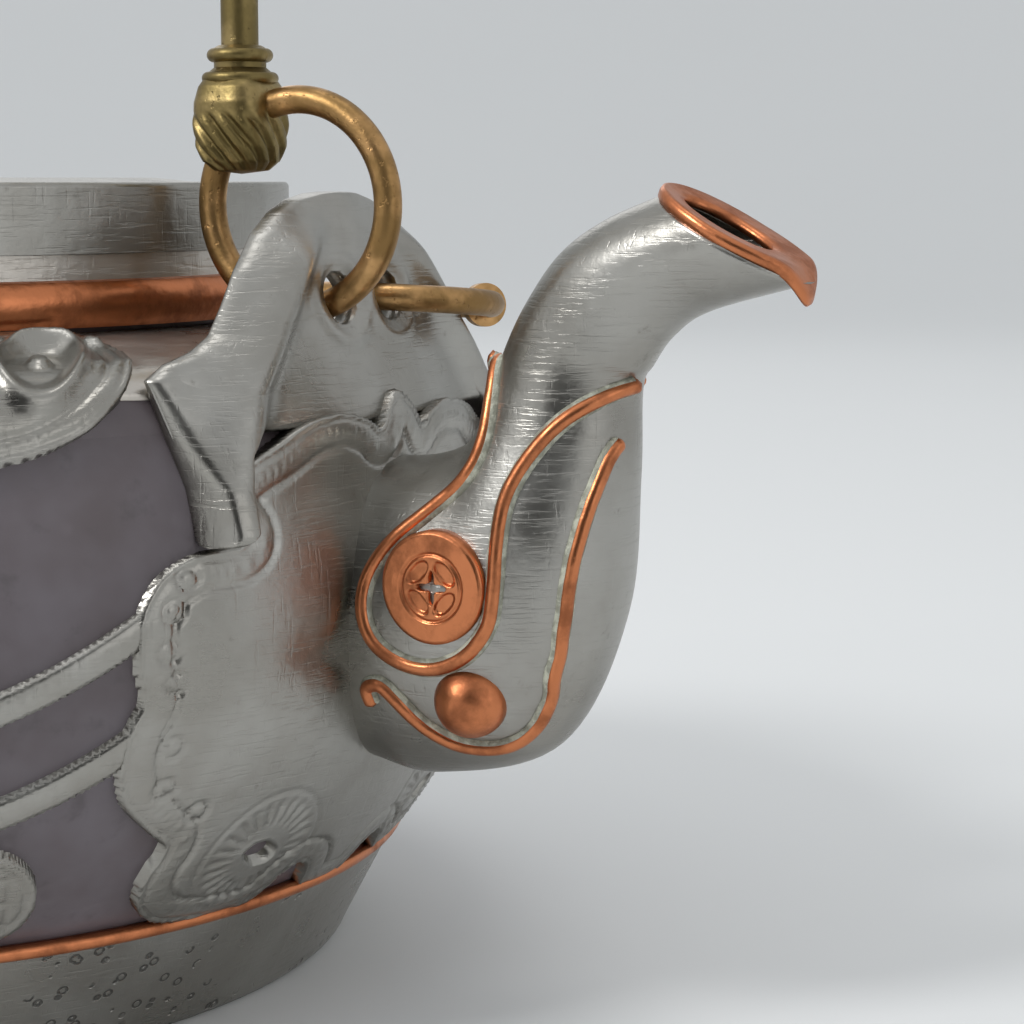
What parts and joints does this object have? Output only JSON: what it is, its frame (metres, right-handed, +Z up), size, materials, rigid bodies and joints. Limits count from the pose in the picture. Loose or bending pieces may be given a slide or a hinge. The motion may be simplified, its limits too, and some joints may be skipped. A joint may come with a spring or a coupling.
{
  "type": "teapot",
  "caption": "Round clay teapot clad in pierced pewter with copper trim, a pewter spout, a lift-off lid and a ring-hung swinging bail handle.",
  "frame": {"origin": "centre of the resting face under the foot, on the pot's axis", "axes": "+Z up along the pot's axis, +X towards the spout, +Y to the pot's left"},
  "size_m": [0.2222, 0.171, 0.1742],
  "materials": {
    "clay": "unglazed, burnished purple-grey",
    "pewter": "aged satin pewter",
    "bright_pewter": "rubbed bright pewter",
    "copper": "aged copper",
    "brass": "dark patinated brass",
    "ring_brass": "worn brown-gold brass"
  },
  "bodies": {
    "pot": {"base_band": "pewter", "base_disc": "pewter", "base_wire": "copper", "clay_body": "clay", "front_left_mask": "pewter", "front_left_medallion": "pewter", "front_left_swag": "pewter", "front_lug": "pewter", "front_panel": "pewter", "front_right_mask": "pewter", "front_right_medallion": "pewter", "front_right_swag": "pewter", "left_cheek_stud": "copper", "left_eye_coin": "copper", "left_loop_wire": "copper", "left_side_panel": "pewter", "left_throat_wire": "copper", "neck_collar": "copper", "neck_sleeve": "bright_pewter", "rear_left_mask": "pewter", "rear_left_medallion": "pewter", "rear_left_swag": "pewter", "rear_lug": "pewter", "rear_panel": "pewter", "rear_right_mask": "pewter", "rear_right_medallion": "pewter", "rear_right_swag": "pewter", "right_cheek_stud": "copper", "right_eye_coin": "copper", "right_loop_wire": "copper", "right_side_panel": "pewter", "right_throat_wire": "copper", "spout_lip": "copper", "spout_shell": "pewter"},
    "lid": {"lid_shell": "pewter", "lid_flange": "pewter", "knob_washer": "brass", "lid_knob": "brass", "knob_rivet": "brass"},
    "handle": {"handle_rod": "brass", "front_fist": "brass", "rear_fist": "brass", "front_cuff": "brass", "rear_cuff": "brass"},
    "front_ring": {"front_handle_ring": "ring_brass"},
    "rear_ring": {"rear_handle_ring": "ring_brass"},
    "spare_ring": {"free_ring": "ring_brass", "free_ring_washer": "ring_brass"}
  },
  "joints": [
    {"name": "lid_lift", "type": "slide", "parent": "pot", "child": "lid", "axis": [0, 0, 1], "range_m": [0, 0.03]},
    {"name": "handle_swing", "type": "hinge", "parent": "pot", "child": "handle", "pos_m": [0, -0.0052, 0.0851], "axis": [1, 0, 0], "range_deg": [-45, 75]},
    {"name": "front_ring_turn", "type": "hinge", "parent": "handle", "child": "front_ring", "pos_m": [0.0734, -0.0052, 0.0959], "axis": [0, 1, 0], "continuous": true},
    {"name": "rear_ring_turn", "type": "hinge", "parent": "handle", "child": "rear_ring", "pos_m": [-0.0734, -0.0052, 0.0959], "axis": [0, 1, 0], "continuous": true},
    {"name": "spare_ring_swing", "type": "hinge", "parent": "pot", "child": "spare_ring", "pos_m": [0.0734, 0.0052, 0.0851], "axis": [1, 0, 0], "range_deg": [0, 80]}
  ]
}
